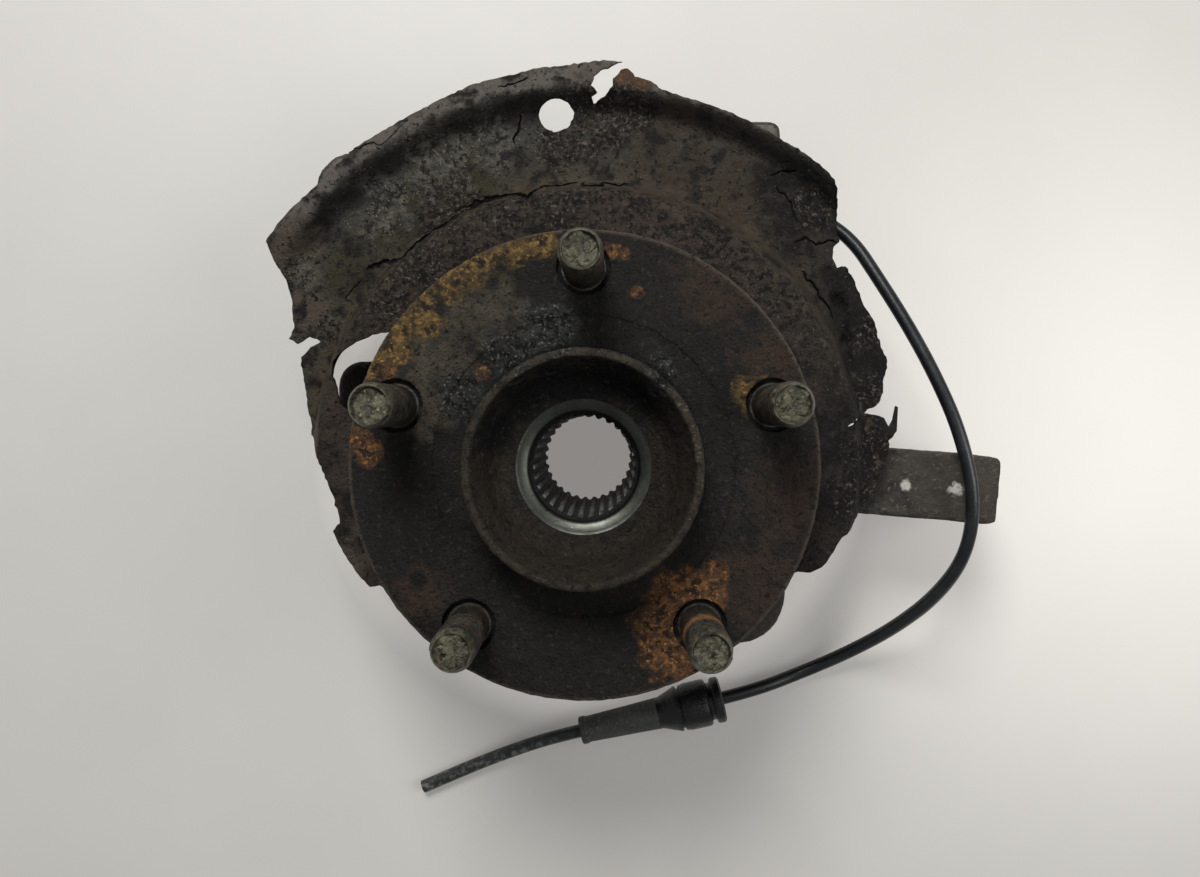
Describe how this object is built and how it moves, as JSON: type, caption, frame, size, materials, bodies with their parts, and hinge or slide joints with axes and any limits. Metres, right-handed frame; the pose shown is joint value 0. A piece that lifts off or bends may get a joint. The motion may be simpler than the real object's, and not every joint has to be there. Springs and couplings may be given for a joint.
{
  "type": "steering knuckle",
  "caption": "Rusted cast steering knuckle with a splined wheel hub turning in its bearing, a torn dust shield and a wheel-speed sensor on a lead.",
  "frame": {"origin": "hub axis at the wheel-mounting face of the flange", "axes": "+Z out of the car along the hub axis, +X towards the strut end of the casting, -X towards the lower ball joint"},
  "size_m": [0.2486, 0.2645, 0.131],
  "materials": {
    "casting": "rusted cast skin",
    "hub_steel": "rusted forging with machined faces",
    "stud_steel": "dirty plated thread",
    "bearing_steel": "ground",
    "cage_plastic": "moulded",
    "seal_rubber": "matt",
    "bolt_steel": "rusted",
    "shield_sheet": "heavily rusted sheet",
    "sensor_plastic": "moulded",
    "lead_rubber": "smooth",
    "sleeve_rubber": "dusty"
  },
  "bodies": {
    "knuckle": {"knuckle": "casting", "bearing_outer_ring": "bearing_steel", "bearing_seal_outboard": "seal_rubber", "bearing_seal_inboard": "seal_rubber", "bearing_snap_ring": "bolt_steel", "dust_shield": "shield_sheet", "shield_bolts": "bolt_steel", "abs_sensor_body": "sensor_plastic", "abs_sensor_bolt": "bolt_steel", "abs_sensor_o_ring": "seal_rubber", "abs_lead": "lead_rubber", "lead_grommet": "lead_rubber", "lead_sleeve": "sleeve_rubber"},
    "hub": {"hub_flange": "hub_steel", "wheel_studs": "stud_steel", "bearing_inner_ring_outboard": "bearing_steel", "bearing_inner_ring_inboard": "bearing_steel", "encoder_ring": "seal_rubber"},
    "bearing_cage": {"bearing_balls_outboard": "bearing_steel", "bearing_balls_inboard": "bearing_steel", "bearing_cage_outboard": "cage_plastic", "bearing_cage_inboard": "cage_plastic"}
  },
  "joints": [
    {"name": "hub_spin", "type": "hinge", "parent": "knuckle", "child": "hub", "pos_m": [0, 0, 0], "axis": [0, 0, 1], "continuous": true},
    {"name": "cage_spin", "type": "hinge", "parent": "knuckle", "child": "bearing_cage", "pos_m": [0, 0, -0.044], "axis": [0, 0, 1], "continuous": true}
  ],
  "couplings": [
    {"joint": "cage_spin", "follows": "hub_spin", "ratio": 0.416}
  ]
}
